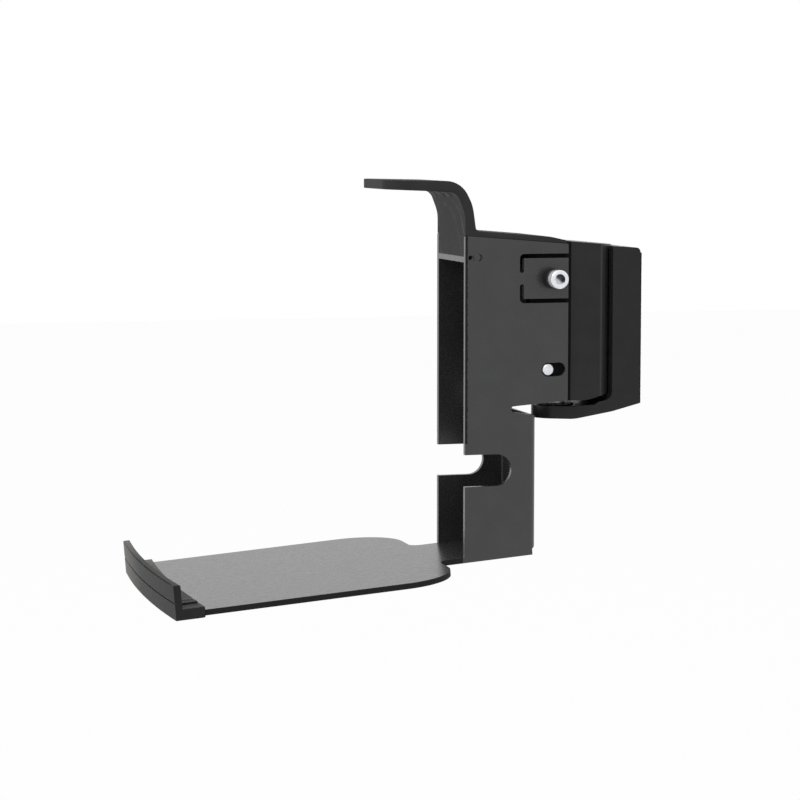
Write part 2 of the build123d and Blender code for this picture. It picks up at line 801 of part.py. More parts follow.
def wall_arm():
    """The casting that covers the wall plate and carries the block on its arm."""
    plan = raised(arm_plan(), nose_bottom_z - overshoot, arm_top_z + arm_top_rise + overshoot)
    arm = plan & across(arm_side_profile(), arm_width + overshoot)
    arm -= drum(hollow_clearance)
    arm -= rod_z(bush_diameter, nose_bottom_z - overshoot, nose_top_z + overshoot, swivel_x, 0)
    seat_z = nose_bottom_z + bolt_head_inset + bolt_head_height + slide
    arm -= rod_z(bolt_head_diameter + 2 * head_clearance, nose_bottom_z - overshoot, seat_z, swivel_x, 0)
    arm -= plate_blank(plate_play)
    foot_z = -plate_height / 2
    for tab in lock_tabs(plate_play):
        arm -= tab
    for side in (1, -1):
        y = side * lock_pitch / 2
        head_z = foot_z - plate_play - lock_wall
        screw_top = head_z + lock_screw_length + lock_wall
        arm -= rod_z(lock_screw_diameter + head_clearance, nose_bottom_z, screw_top, lock_screw_x, y)
        arm -= rod_z(lock_head_diameter + 2 * head_clearance, nose_bottom_z, head_z, lock_screw_x, y)
    return arm


def locking_screws():
    """Two screws from below that lock the casting to the wall plate."""
    seat_z = -plate_height / 2 - plate_play - lock_wall
    screw = pan_screw(lock_screw_diameter, lock_screw_length, lock_head_diameter, lock_head_height)
    return [Pos(lock_screw_x, side * lock_pitch / 2, seat_z) * screw for side in (1, -1)]


def wall_gasket():
    """A thin foam frame between the casting and the wall."""
    height = arm_top_z - arm_corner_radius - arm_foot_z
    frame = Box(gasket_thickness, arm_width - 2 * gasket_inset, height)
    frame = Pos(-gasket_thickness / 2, 0, arm_foot_z + height / 2) * frame
    return frame - Box(plate_thickness, plate_width + 2 * gasket_border, plate_height + 2 * gasket_border)


def arm_bush():
    """The bronze bush in the nose of the arm."""
    seat_z = nose_bottom_z + bolt_head_inset + bolt_head_height + slide
    ring = rod_z(bush_diameter, seat_z, nose_top_z, swivel_x, 0)
    return ring - rod_z(bolt_diameter + 2 * running, nose_bottom_z, 0, swivel_x, 0)


def thrust_washer():
    """The nylon washer on top of the arm's nose."""
    ring = rod_z(thrust_washer_diameter, nose_top_z, nose_top_z + thrust_washer_thickness, swivel_x, 0)
    return ring - rod_z(bolt_diameter + 2 * running, nose_bottom_z, 0, swivel_x, 0)


def tilt_screw():
    """The bright socket-head screw that clamps the flanges on the block."""
    seat_y = -half_width - slide - collar_length
    end_y = half_width + slide + tilt_washer_thickness + tilt_nut_height + tilt_screw_end
    head = rod_y(tilt_head_diameter, seat_y, seat_y - tilt_head_height, tilt_x, tilt_z)
    head = chamfer(head.edges().group_by(Axis.Y)[0], edge_break)
    shank = rod_y(tilt_screw_diameter, seat_y, end_y, tilt_x, tilt_z)
    shank = chamfer(shank.edges().group_by(Axis.Y)[-1], thread_chamfer)
    socket = Rot(90, 0, 0) * hex_bar(tilt_socket_flats, tilt_socket_depth)
    socket = Pos(tilt_x, seat_y - tilt_head_height + tilt_socket_depth, tilt_z) * socket
    return head + shank - socket


def tilt_collar():
    """The black spacer under the head of the tilt screw."""
    start = -half_width - slide
    ring = rod_y(collar_diameter, start, start - collar_length, tilt_x, tilt_z)
    ring = chamfer(ring.edges().group_by(Axis.Y)[0], edge_break)
    return ring - rod_y(tilt_screw_diameter + 2 * screw_fit, -channel_width, 0, tilt_x, tilt_z)


def tilt_washer():
    """The washer on the far flange."""
    start = half_width + slide
    ring = rod_y(tilt_washer_diameter, start, start + tilt_washer_thickness, tilt_x, tilt_z)
    return ring - rod_y(tilt_screw_diameter + 2 * screw_fit, 0, channel_width, tilt_x, tilt_z)


def tilt_nut():
    """The lock nut on the far end of the tilt screw."""
    start = half_width + slide + tilt_washer_thickness
    nut = hex_nut(tilt_nut_flats, tilt_nut_height, tilt_screw_diameter + 2 * screw_fit)
    return Pos(tilt_x, start, tilt_z) * Rot(-90, 0, 0) * nut


def guide_pin():
    """The zinc-plated pin across the block, whose ends run in the curved slots."""
    length = half_width + pin_proud
    pin = rod_y(pin_diameter, -length, length, pin_x, pin_z)
    return chamfer(pin.edges().filter_by(GeomType.CIRCLE), edge_break)


single_pieces = {
    "wall_plate": wall_plate,
    "wall_gasket": wall_gasket,
    "wall_arm": wall_arm,
    "arm_bush": arm_bush,
    "thrust_washer": thrust_washer,
    "swivel_block": swivel_block,
    "spindle_spacer": spindle_spacer,
    "swivel_bolt": swivel_bolt,
    "swivel_nut": swivel_nut,
    "tilt_screw": tilt_screw,
    "tilt_collar": tilt_collar,
    "tilt_washer": tilt_washer,
    "tilt_nut": tilt_nut,
    "guide_pin": guide_pin,
    "cradle_frame": cradle_frame,
    "top_hook": top_hook,
    "front_lip": front_lip,
}
grouped_pieces = {
    "locking_screws": locking_screws,
    "disc_springs": disc_springs,
    "hook_screws": hook_screws,
    "lip_screws": lip_screws,
}

for node, make in single_pieces.items():
    save(make(), node)
for node, make in grouped_pieces.items():
    save(Compound(children=make()), node)
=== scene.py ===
import random
from math import acos, atan2, cos, hypot, pi, radians, sin, sqrt, tan

import bmesh
import bpy
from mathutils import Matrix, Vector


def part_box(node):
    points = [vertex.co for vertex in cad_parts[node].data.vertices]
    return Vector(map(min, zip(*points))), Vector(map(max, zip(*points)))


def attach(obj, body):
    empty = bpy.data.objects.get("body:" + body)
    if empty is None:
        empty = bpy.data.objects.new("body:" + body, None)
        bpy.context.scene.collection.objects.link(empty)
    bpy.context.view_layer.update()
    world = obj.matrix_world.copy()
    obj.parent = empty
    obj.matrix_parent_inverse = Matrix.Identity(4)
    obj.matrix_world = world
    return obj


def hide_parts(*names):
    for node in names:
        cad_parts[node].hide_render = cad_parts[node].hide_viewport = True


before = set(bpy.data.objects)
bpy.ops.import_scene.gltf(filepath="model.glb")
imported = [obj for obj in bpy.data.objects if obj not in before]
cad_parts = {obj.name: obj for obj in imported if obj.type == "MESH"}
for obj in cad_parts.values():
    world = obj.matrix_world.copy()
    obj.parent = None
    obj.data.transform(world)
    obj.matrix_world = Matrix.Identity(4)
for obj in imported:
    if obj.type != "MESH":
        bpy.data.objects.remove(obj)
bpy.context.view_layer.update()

mm = 0.001
scene = bpy.context.scene
scene.view_settings.view_transform = "Standard"


# Camera: it stands to the left of the bracket, a little above the hook, and looks slightly down.
# The lens is long, so the flanges stay almost parallel.
lens_mm = 117.04
camera_place = (-0.50175, -1.35409, 0.10166)
camera_yaw = 15.4
camera_pitch = 5.76

camera = bpy.data.objects.new("camera", bpy.data.cameras.new("camera"))
camera.data.lens = lens_mm
camera.data.sensor_width = 36.0
camera.data.clip_start = 0.05
camera.data.clip_end = 50.0
camera.location = camera_place
camera.rotation_euler = (radians(90 - camera_pitch), 0, radians(-camera_yaw))
scene.collection.objects.link(camera)
scene.camera = camera


# Studio: a white room. Its white wall stands behind the bracket, and the side behind the camera
# is dimmer, so that faces towards the camera stay dark and edges towards the wall shine.
def linear(code):
    """An sRGB hex colour as the linear colour that a shader takes."""
    parts = [int(code[at:at + 2], 16) / 255 for at in (1, 3, 5)]
    return [part / 12.92 if part < 0.04045 else ((part + 0.055) / 1.055) ** 2.4
            for part in parts] + [1.0]


def add(tree, kind, settings=(), links=()):
    """Adds a node: settings go to its inputs or its own properties, links to its inputs."""
    added = tree.nodes.new(kind)
    for name, value in dict(settings).items():
        if isinstance(name, int) or name in added.inputs:
            added.inputs[name].default_value = value
        else:
            setattr(added, name, value)
    for name, socket in dict(links).items():
        tree.links.new(socket, added.inputs[name])
    return added


def split(tree, vector):
    """The X, Y and Z of a vector."""
    return add(tree, "ShaderNodeSeparateXYZ", links={"Vector": vector}).outputs


def maths(tree, operation, *values):
    """The result of one operation on numbers and sockets."""
    numbers = {at: value for at, value in enumerate(values) if isinstance(value, (int, float))}
    sockets = {at: value for at, value in enumerate(values) if at not in numbers}
    return add(tree, "ShaderNodeMath", {"operation": operation, **numbers}, sockets).outputs[0]


def ramp(tree, value, start, end, low=0.0, high=1.0):
    """Goes from low to high while a value goes from start to end."""
    return add(tree, "ShaderNodeMapRange",
               {"From Min": start, "From Max": end, "To Min": low, "To Max": high},
               {"Value": value}).outputs["Result"]


near_wall = 0.62
soft_light = 0.85


def whiteness(tree, ways, place, dim_y, white_y):
    """How white the room is along Y. The camera itself sees it all white."""
    depth = ramp(tree, split(tree, place)["Y"], dim_y, white_y, low=near_wall)
    return maths(tree, "MAXIMUM", depth, ways["Is Camera Ray"])


world = bpy.data.worlds.new("studio")
scene.world = world
world.use_nodes = True
tree = world.node_tree
tree.nodes.clear()
ways = add(tree, "ShaderNodeLightPath").outputs
place = add(tree, "ShaderNodeTexCoord").outputs["Generated"]
seen = whiteness(tree, ways, place, dim_y=-1.0, white_y=0.6)
wall = add(tree, "ShaderNodeBackground", {"Color": linear("#ffffff")}, {"Strength": seen})
soft = add(tree, "ShaderNodeBackground", {"Color": linear("#fbfcff"), "Strength": soft_light})
mirrored = maths(tree, "MAXIMUM", ways["Is Glossy Ray"], ways["Is Transmission Ray"])
direct = maths(tree, "MAXIMUM", mirrored, ways["Is Camera Ray"])
both = add(tree, "ShaderNodeMixShader", links={0: direct, 1: soft.outputs[0], 2: wall.outputs[0]})
add(tree, "ShaderNodeOutputWorld", links={"Surface": both.outputs[0]})


# Floor: white painted board, well below the bracket, because the wall that carries it isn't shown.
# It looks as white as the room, and it keeps the bracket's soft shadow.
floor_z = -0.42
floor_half = 6.0
floor_shine = 0.92

# White board: plain matt white. To the camera it glows, and so meets the room without a line.
board = bpy.data.materials.new("white_board")
board.use_nodes = True
tree = board.node_tree
tree.nodes.clear()
ways = add(tree, "ShaderNodeLightPath").outputs
place = add(tree, "ShaderNodeNewGeometry").outputs["Position"]
seen = whiteness(tree, ways, place, dim_y=-1.5, white_y=0.5)
paint = add(tree, "ShaderNodeBsdfDiffuse", {"Color": linear("#f4f4f4")})
glow = add(tree, "ShaderNodeEmission", {"Color": linear("#ffffff")}, {"Strength": seen})
viewed = maths(tree, "MULTIPLY", ways["Is Camera Ray"], floor_shine)
share = maths(tree, "MAXIMUM", viewed, ways["Is Glossy Ray"])
both = add(tree, "ShaderNodeMixShader", links={0: share, 1: paint.outputs[0], 2: glow.outputs[0]})
add(tree, "ShaderNodeOutputMaterial", links={"Surface": both.outputs[0]})

mesh = bpy.data.meshes.new("floor")
mesh.from_pydata([(-floor_half, -floor_half, floor_z), (floor_half, -floor_half, floor_z),
                  (floor_half, floor_half, floor_z), (-floor_half, floor_half, floor_z)],
                 [], [(0, 1, 2, 3)])
mesh.materials.append(board)
floor = bpy.data.objects.new("floor", mesh)
scene.collection.objects.link(floor)


# Softbox: one large lamp high on the left, which gives the flanges and the tray their gentle
# fall of light and the floor its shadow.
lamp = bpy.data.lights.new("softbox", "AREA")
lamp.shape = "SQUARE"
lamp.size = 1.2
lamp.energy = 12.0
softbox = bpy.data.objects.new("softbox", lamp)
softbox.location = (-1.1, -0.6, 1.6)
softbox.rotation_euler = (radians(40), 0, radians(-58))
scene.collection.objects.link(softbox)


# Wall plate: a steel plate of 3 mm, screwed to the wall, with two folded tabs at its foot.
# It is cut, folded and zinc plated, and the casting hides all but its back.
def tint(tree, share, base, code):
    """A colour with a second one laid over it by a share."""
    return add(tree, "ShaderNodeMix", {"data_type": "RGBA", 7: linear(code)},
               {0: share, 6: base}).outputs[2]


def surface(name, light, dark, patch_mm, grain_mm, depth_mm, rough, worn=None, **shader):
    """A finish with soft patches of two colours, a fine grain, and edges of a worn colour."""
    # Most grains are finer in life. They are drawn at 0.3 mm or more, or they wouldn't show.
    edge_mm = 0.25
    material = bpy.data.materials.new(name)
    material.use_nodes = True
    tree = material.node_tree
    tree.nodes.clear()
    place = add(tree, "ShaderNodeTexCoord").outputs["Object"]
    patches, grain = [
        add(tree, "ShaderNodeTexNoise", {"Scale": 1 / (size * mm), "Detail": detail},
            {"Vector": place}).outputs["Fac"]
        for size, detail in ((patch_mm, 3.0), (grain_mm, 2.0))]
    spread = ramp(tree, patches, start=0.35, end=0.65)
    colour = add(tree, "ShaderNodeMix", {"data_type": "RGBA", 6: linear(light), 7: linear(dark)},
                 {0: spread}).outputs[2]
    uneven = ramp(tree, grain, start=0.3, end=0.7, low=rough * 0.9, high=rough * 1.12)
    edge = add(tree, "ShaderNodeBevel", {"samples": 6, "Radius": edge_mm * mm}).outputs["Normal"]
    if worn:
        flat = add(tree, "ShaderNodeNewGeometry").outputs["True Normal"]
        turn = add(tree, "ShaderNodeVectorMath", {"operation": "DOT_PRODUCT"}, {0: edge, 1: flat})
        wear_and_painted_light = ramp(tree, turn.outputs["Value"], start=0.97, end=0.8, high=0.7)
        colour = tint(tree, maths(tree, "MULTIPLY", wear_and_painted_light, spread), colour, worn)
    bump = add(tree, "ShaderNodeBump", {"Strength": 1.0, "Distance": depth_mm * mm},
               {"Height": grain, "Normal": edge})
    skin = add(tree, "ShaderNodeBsdfPrincipled", shader,
               {"Base Color": colour, "Roughness": uneven, "Normal": bump.outputs["Normal"]})
    add(tree, "ShaderNodeOutputMaterial", links={"Surface": skin.outputs[0]})
    return material


def dress(material, *nodes):
    """Gives nodes of the frame their finish."""
    for node in nodes:
        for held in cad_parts[node].material_slots:
            held.material = material


# Satin zinc plate: a soft grey metal with cloudy patches of a few millimetres.
satin_zinc = surface("satin_zinc", light="#c3c6cc", dark="#a9adb5", patch_mm=5.0, grain_mm=0.8,
                     depth_mm=0.006, rough=0.36, Metallic=1.0)
dress(satin_zinc, "wall_plate")


# Gasket: a frame of black foam, 0.8 mm thick when pressed, between the casting and the wall.
# It is die cut from sheet, so its outer edge is ragged with open cells.
def piece(name, points, faces, material, body, smooth=True):
    """A mesh with its normals outwards, which rides on a body and has a finish."""
    weld_reach = 0.001 * mm
    sharp_angle = radians(35)
    mesh = bpy.data.meshes.new(name)
    mesh.from_pydata(points, [], faces)
    work = bmesh.new()
    work.from_mesh(mesh)
    bmesh.ops.remove_doubles(work, verts=work.verts, dist=weld_reach)
    bmesh.ops.recalc_face_normals(work, faces=work.faces)
    work.to_mesh(mesh)
    work.free()
    mesh.materials.append(material)
    mesh.polygons.foreach_set("use_smooth", [smooth] * len(mesh.polygons))
    if smooth:
        mesh.set_sharp_from_angle(angle=sharp_angle)
    made = bpy.data.objects.new(name, mesh)
    scene.collection.objects.link(made)
    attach(made, body)
    return made


# Cut foam: dead black with lighter cell walls, each cell about 0.6 mm across.
cut_foam = surface("cut_foam", light="#2c2c2d", dark="#131313", patch_mm=1.2, grain_mm=0.6,
                   depth_mm=0.2, rough=0.95)

cell = 0.6 * mm
tear = 0.22 * mm
rim_width = 2.4 * mm
layers = (0.0, 0.35, 0.7, 1.0)
low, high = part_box("wall_gasket")
tears = random.Random(7)
corners = [(low[1], low[2]), (high[1], low[2]), (high[1], high[2]), (low[1], high[2])]
stations = []
for start, end in zip(corners, corners[1:] + corners[:1]):
    run = abs(end[0] - start[0]) + abs(end[1] - start[1])
    count = round(run / cell)
    for step in range(count):
        stations.append([start[axis] + (end[axis] - start[axis]) * step / count for axis in (0, 1)])
centre = [(low[axis] + high[axis]) / 2 for axis in (1, 2)]
half = [(high[axis] - low[axis]) / 2 for axis in (1, 2)]


def drawn_in(spot, layer, depth):
    """A place on the rim, in a layer of the foam, moved towards the middle by a depth."""
    return [low[0] + (high[0] - low[0]) * layer] + [
        centre[axis] + (spot[axis] - centre[axis]) * (1 - depth / half[axis]) for axis in (0, 1)]


points = []
for spot in stations:
    points += [drawn_in(spot, layer, tears.uniform(0, tear)) for layer in layers]
    points += [drawn_in(spot, layer, rim_width) for layer in (1.0, 0.0)]
around = len(layers) + 2
faces = []
for number in range(len(stations)):
    here, after = number * around, (number + 1) % len(stations) * around
    for step in range(around):
        beside = (step + 1) % around
        faces.append((here + step, after + step, after + beside, here + beside))
gasket = piece("foam_gasket", points, faces, cut_foam, "wall", smooth=False)
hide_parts("wall_gasket")


# Wall arm: one pressure casting of aluminium, with the round arm at its foot, hung over the plate.
# It is painted, and the paint is satin black and fine, with the casting's faint waves under it.
cast_paint = surface("cast_paint", light="#222223", dark="#1f1f20", patch_mm=9.0, grain_mm=0.7,
                     depth_mm=0.009, rough=0.32, worn="#3a3a3b", **{"Specular IOR Level": 0.3})
dress(cast_paint, "wall_arm")


# Locking screws: two M4 steel screws, put in from below, which hold the casting on the plate.
# Black oxide: a dark grey metal with a little sheen.
black_oxide = surface("black_oxide", light="#303134", dark="#28292b", patch_mm=2.0, grain_mm=0.4,
                      depth_mm=0.006, rough=0.36, Metallic=0.5)
dress(black_oxide, "locking_screws")


# Bush: sintered bronze, pressed into the nose of the arm.
# Its pores make it a dull brown gold, speckled at half a millimetre.
sintered_bronze = surface("sintered_bronze", light="#a98052", dark="#8c6a42", patch_mm=1.5,
                          grain_mm=0.4, depth_mm=0.02, rough=0.42, Metallic=1.0)
dress(sintered_bronze, "arm_bush")


# Thrust washer: moulded black nylon, loose on the bolt between arm and block.
# It is smooth and waxy, with hardly any pattern.
moulded_nylon = surface("moulded_nylon", light="#1b1b1b", dark="#161616", patch_mm=3.0,
                        grain_mm=0.6, depth_mm=0.008, rough=0.45)
dress(moulded_nylon, "thrust_washer")


# Swivel block: a second casting of aluminium, turned about the bolt, between the flanges.
# It has the same satin black paint, a shade lighter and paler where its edges are rubbed.
def opened(material):
    """A finish's node tree, with its inputs for colour and roughness."""
    tree = material.node_tree
    skin = next(node for node in tree.nodes if node.bl_idname == "ShaderNodeBsdfPrincipled")
    return tree, skin.inputs["Base Color"], skin.inputs["Roughness"]


def source(socket):
    """The output that feeds an input."""
    return socket.links[0].from_socket


def away(tree, place, middle, plane):
    """The vector from a middle to a place, and its length in a plane."""
    steps = add(tree, "ShaderNodeVectorMath", {"operation": "SUBTRACT", 1: middle}, {0: place})
    level = add(tree, "ShaderNodeVectorMath", {"operation": "MULTIPLY", 1: plane},
                {0: steps.outputs[0]})
    reach = add(tree, "ShaderNodeVectorMath", {"operation": "LENGTH"}, {0: level.outputs[0]})
    return steps.outputs[0], reach.outputs["Value"]


block_paint = surface("block_paint", light="#252526", dark="#212122", patch_mm=9.0, grain_mm=0.7,
                      depth_mm=0.009, rough=0.34, worn="#454546", **{"Specular IOR Level": 0.3})
dress(block_paint, "swivel_block")

# Painted shade: between the flanges, up to a line just behind them, it is near black and matt.
# Painted light: its round back, in the narrow gap to the casting, is a lighter grey.
low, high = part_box("swivel_bolt")
axis_x = (low[0] + high[0]) / 2
flange_end = axis_x + 0.6 * mm
light_band_radius = 29.4 * mm
light_band_fade = 0.7 * mm
tree, base, rough = opened(block_paint)
painted, satin = source(base), source(rough)
place = add(tree, "ShaderNodeTexCoord").outputs["Object"]
axes = split(tree, place)
reach = away(tree, place, middle=(axis_x, 0, 0), plane=(1, 1, 0))[1]
# Painted light: past a radius from the bolt, the round back is tinted a lighter grey.
back = ramp(tree, reach, light_band_radius, light_band_radius + light_band_fade)
wear_and_painted_light = tint(tree, back, painted, "#3e3e3f")
# Painted shade: between the flanges the block is near black and matt.
flange_shade = maths(tree, "LESS_THAN", axes["X"], flange_end)
tree.links.new(tint(tree, flange_shade, wear_and_painted_light, "#0b0b0b"), base)
tree.links.new(maths(tree, "MAXIMUM", flange_shade, satin), rough)


# Spindle spacer and disc springs: turned and pressed steel, zinc plated, on the swivel bolt.
# Bright zinc: an almost white metal, which shows as a glint under the flange.
bright_zinc = surface("bright_zinc", light="#fbfcfd", dark="#eceef1", patch_mm=3.0, grain_mm=0.5,
                      depth_mm=0.005, rough=0.26, Metallic=0.45)
dress(bright_zinc, "spindle_spacer")
dress(satin_zinc, "disc_springs")


# Swivel bolt: an M8 bolt of black steel with a low head, which comes up through the arm.
# Its head and socket are cold formed, the head's side is plain, and its thread is rolled.
def lathe(rows, count, closed=False):
    """Rings of points about Z, each a height and a radius for every step, joined into one skin."""
    points = []
    for height, radius in rows:
        for step in range(count):
            reach = radius(step) if callable(radius) else radius
            angle = 2 * pi * step / count
            points.append((reach * cos(angle), reach * sin(angle), height))
    faces = []
    for row in range(len(rows) if closed else len(rows) - 1):
        here, after = row * count, (row + 1) % len(rows) * count
        for step in range(count):
            beside = (step + 1) % count
            faces.append((here + step, here + beside, after + beside, after + step))
    if not closed:
        faces.append(tuple(range(count)))
        faces.append(tuple(range((len(rows) - 1) * count, len(rows) * count)))
    return points, faces


def bolt(head_diameter, head_height, socket_flats, socket_depth, diameter, length, pitch, thread,
         knurl):
    """A screw with its head down on Z = 0: hexagon socket, bevelled and knurled head, thread."""
    count = 96
    steps_a_pitch = 8
    bevel = 0.5 * mm
    socket_bevel = 0.3 * mm
    thread_depth = 0.61 * pitch
    crest_share = 1.2
    head = head_diameter / 2
    shank = diameter / 2

    def hexagon(step):
        """The socket's wall: its corners lie on every sixth part of a turn."""
        return socket_flats / 2 / cos((2 * pi * step / count) % (pi / 3) - pi / 6)

    def mouth(step):
        """The socket's bevelled mouth."""
        return hexagon(step) + bevel

    def ribbed(step):
        """The knurled side of the head: a rib at every other step."""
        return head - knurl * (step % 2)

    def helix(height):
        """The thread at one height, which runs out towards the head and is bevelled at the end."""
        cut = thread_depth * min(1.0, (height - length + thread) / pitch)
        end = shank - max(0.0, height - length + thread_depth)

        def reach(step):
            wave = abs((height / pitch - step / count) % 1.0 - 0.5) * 2
            return min(end, shank - cut * (1 - min(1.0, crest_share * wave)))
        return reach

    rows = [(socket_depth, hexagon), (socket_bevel, hexagon), (0, mouth), (0, head - bevel),
            (bevel, head), (2 * bevel, ribbed), (head_height - bevel, ribbed),
            (head_height - bevel / 2, head - knurl), (head_height, head - bevel),
            (head_height, shank), (length - thread, shank)]
    levels = round(thread / pitch * steps_a_pitch)
    rows += [(height, helix(height)) for height in
             (length - thread + thread * level / levels for level in range(1, levels + 1))]
    return lathe(rows, count)


low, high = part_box("swivel_bolt")
bolt_x, bolt_y = (low[0] + high[0]) / 2, (low[1] + high[1]) / 2
points, faces = bolt(head_diameter=13 * mm, head_height=3 * mm, socket_flats=5 * mm,
                     socket_depth=2 * mm, diameter=8 * mm, length=high[2] - low[2],
                     pitch=1.25 * mm, thread=22 * mm, knurl=0)
points = [(bolt_x + x, bolt_y + y, low[2] + z) for x, y, z in points]
swivel_bolt = piece("low_head_bolt", points, faces, black_oxide, "swivel",
                    smooth=False)
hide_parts("swivel_bolt")


# Swivel nut: a zinc-plated lock nut on the disc springs, with a ring of nylon in its collar.
# The collar's rolled lip holds the ring.
dress(satin_zinc, "swivel_nut")

# White nylon: moulded in its natural colour, a warm milky white with a soft sheen.
white_nylon = surface("white_nylon", light="#e6e3da", dark="#d8d5cb", patch_mm=2.0, grain_mm=0.5,
                      depth_mm=0.01, rough=0.4)


def locking_ring(bore, reach, proud):
    """A rounded ring about Z that stands a little above Z = 0."""
    count = 64
    rows = [(-proud, bore), (-proud, reach), (proud * 0.5, reach), (proud, reach - proud / 2),
            (proud, bore + proud / 2), (proud * 0.5, bore)]
    return lathe(rows, count, closed=True)


low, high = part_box("swivel_nut")
points, faces = locking_ring(bore=4.06 * mm, reach=5.0 * mm, proud=0.2 * mm)
points = [(bolt_x + x, bolt_y + y, high[2] + z) for x, y, z in points]
piece("swivel_nut_ring", points, faces, white_nylon, "swivel")


# Tilt screw: an M6 socket screw with a knurled head, through block and flanges.
# It is cold formed from steel, its thread is rolled, and it is plated in bright zinc.
low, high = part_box("tilt_screw")
tilt_x, tilt_z = (low[0] + high[0]) / 2, (low[2] + high[2]) / 2

# Screw zinc: smoother and whiter than the other plating, so that the bevelled rim stays almost
# white. The upper side of the socket is painted a blue grey: painted shade in the socket.
screw_zinc = surface("screw_zinc", light="#ffffff", dark="#f4f5f8", patch_mm=3.0, grain_mm=0.5,
                     depth_mm=0.004, rough=0.2, Metallic=0.35)
socket_reach = 2.95 * mm
shade_side = (0.6, 0, 0.8)
shade_start, shade_end = -0.8 * mm, 0.5 * mm
tree, base, _ = opened(screw_zinc)
plated = source(base)
place = add(tree, "ShaderNodeTexCoord").outputs["Object"]
steps, reach = away(tree, place, middle=(tilt_x, 0, tilt_z), plane=(1, 0, 1))
inside = maths(tree, "LESS_THAN", reach, socket_reach)
side = add(tree, "ShaderNodeVectorMath", {"operation": "DOT_PRODUCT", 1: shade_side}, {0: steps})
shaded_side = ramp(tree, side.outputs["Value"], shade_start, shade_end)
socket_shade = maths(tree, "MULTIPLY", inside, shaded_side)
# Painted shade: the upper side of the socket is tinted blue grey.
tree.links.new(tint(tree, socket_shade, plated, "#46525b"), base)

points, faces = bolt(head_diameter=10 * mm, head_height=6 * mm, socket_flats=5 * mm,
                     socket_depth=3 * mm, diameter=6 * mm, length=high[1] - low[1],
                     pitch=1 * mm, thread=18 * mm, knurl=0.12 * mm)
points = [(tilt_x + x, low[1] + z, tilt_z - y) for x, y, z in points]
tilt_screw = piece("cap_screw", points, faces, screw_zinc, "swivel", smooth=False)
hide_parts("tilt_screw")


# Collar, washer and lock nut of the tilt screw: turned steel with black oxide under the head,
# and zinc-plated standard parts on the far flange, with the nylon ring in the nut.
dress(black_oxide, "tilt_collar")
dress(satin_zinc, "tilt_washer", "tilt_nut")
low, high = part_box("tilt_nut")
points, faces = locking_ring(bore=3.06 * mm, reach=3.8 * mm, proud=0.2 * mm)
points = [(tilt_x + x, high[1] + z, tilt_z - y) for x, y, z in points]
piece("tilt_nut_ring", points, faces, white_nylon, "swivel")


# Guide pin: a zinc-plated dowel across the block, bevelled at both ends.
# Its end is the bright dot in the curved slot.
dress(bright_zinc, "guide_pin")


# Cradle frame: sheet steel of 3 mm, cut, folded and welded, with a black polyester powder coat.
# The coat is satin, with a faint orange peel, and mirrors the white wall at a flat angle.
powder_coat = surface("powder_coat", light="#303031", dark="#2c2c2d", patch_mm=14.0, grain_mm=2.4,
                      depth_mm=0.004, rough=0.27, **{"Specular IOR Level": 0.85})
dress(powder_coat, "cradle_frame")

# A ragged strip on each flange's outer face, along its front edge, is a painted dark reflection.
face_y = 26.9 * mm
face_reach = 0.3 * mm
strip_x = -98.7 * mm
rag_size = 2.2 * mm
rag_depth = 1.4 * mm
foot_z = -62.0 * mm
tree, base, rough = opened(powder_coat)
coated, satin = source(base), source(rough)
place = add(tree, "ShaderNodeTexCoord").outputs["Object"]
ragged = add(tree, "ShaderNodeTexNoise", {"Scale": 1 / rag_size, "Detail": 3.0}, {"Vector": place})
shift = maths(tree, "MULTIPLY_ADD", ragged.outputs["Fac"], -rag_depth, strip_x + rag_depth / 2)
axes = split(tree, place)
front = maths(tree, "LESS_THAN", axes["X"], shift)
across = maths(tree, "ABSOLUTE", axes["Y"])
outer = maths(tree, "COMPARE", across, face_y, face_reach)
above = maths(tree, "GREATER_THAN", axes["Z"], foot_z)
dark_reflection_strip = maths(tree, "MULTIPLY", maths(tree, "MULTIPLY", front, outer), above)

# The upright cut edges of the tray are near black and matt too.
tray_rear = -101.0 * mm
edge_lean = 0.4
facing = split(tree, add(tree, "ShaderNodeTexCoord").outputs["Normal"])
upright = maths(tree, "COMPARE", facing["Z"], 0.0, edge_lean)
tray = maths(tree, "LESS_THAN", axes["X"], tray_rear)
dark_edges = maths(tree, "MAXIMUM", dark_reflection_strip, maths(tree, "MULTIPLY", upright, tray))
# Painted dark reflection on the flanges' strip; the tray's cut edges are near black too.
tree.links.new(tint(tree, dark_edges, coated, "#060606"), base)
tree.links.new(maths(tree, "MAXIMUM", dark_edges, satin), rough)


# The weld lies under the coat: a rippled bead along the foot of the web.
def bead(start, length, radius):
    """A weld bead along Y with round ends, rippled by a small share of its radius."""
    count = 20
    ripple = 1.3 * mm
    ripple_share = 0.06
    end_share = 0.05
    steps = round(length / (ripple / 6))
    rows = []
    for step in range(steps + 1):
        along = length * step / steps
        swell = radius * (1 - ripple_share + ripple_share * abs(sin(pi * along / ripple)))
        end = min(along, length - along)
        if end < radius:
            swell *= (max(0.0, 1 - (1 - end / radius) ** 2)) ** 0.5 + end_share
        rows.append((along, swell))
    points, faces = lathe(rows, count)
    return [(start[0] + x, start[1] + z, start[2] - y) for x, y, z in points], faces


points, faces = bead(start=(-61.0 * mm, -20 * mm, -120.8 * mm), length=40 * mm, radius=1.5 * mm)
piece("web_foot_weld", points, faces, powder_coat, "cradle")

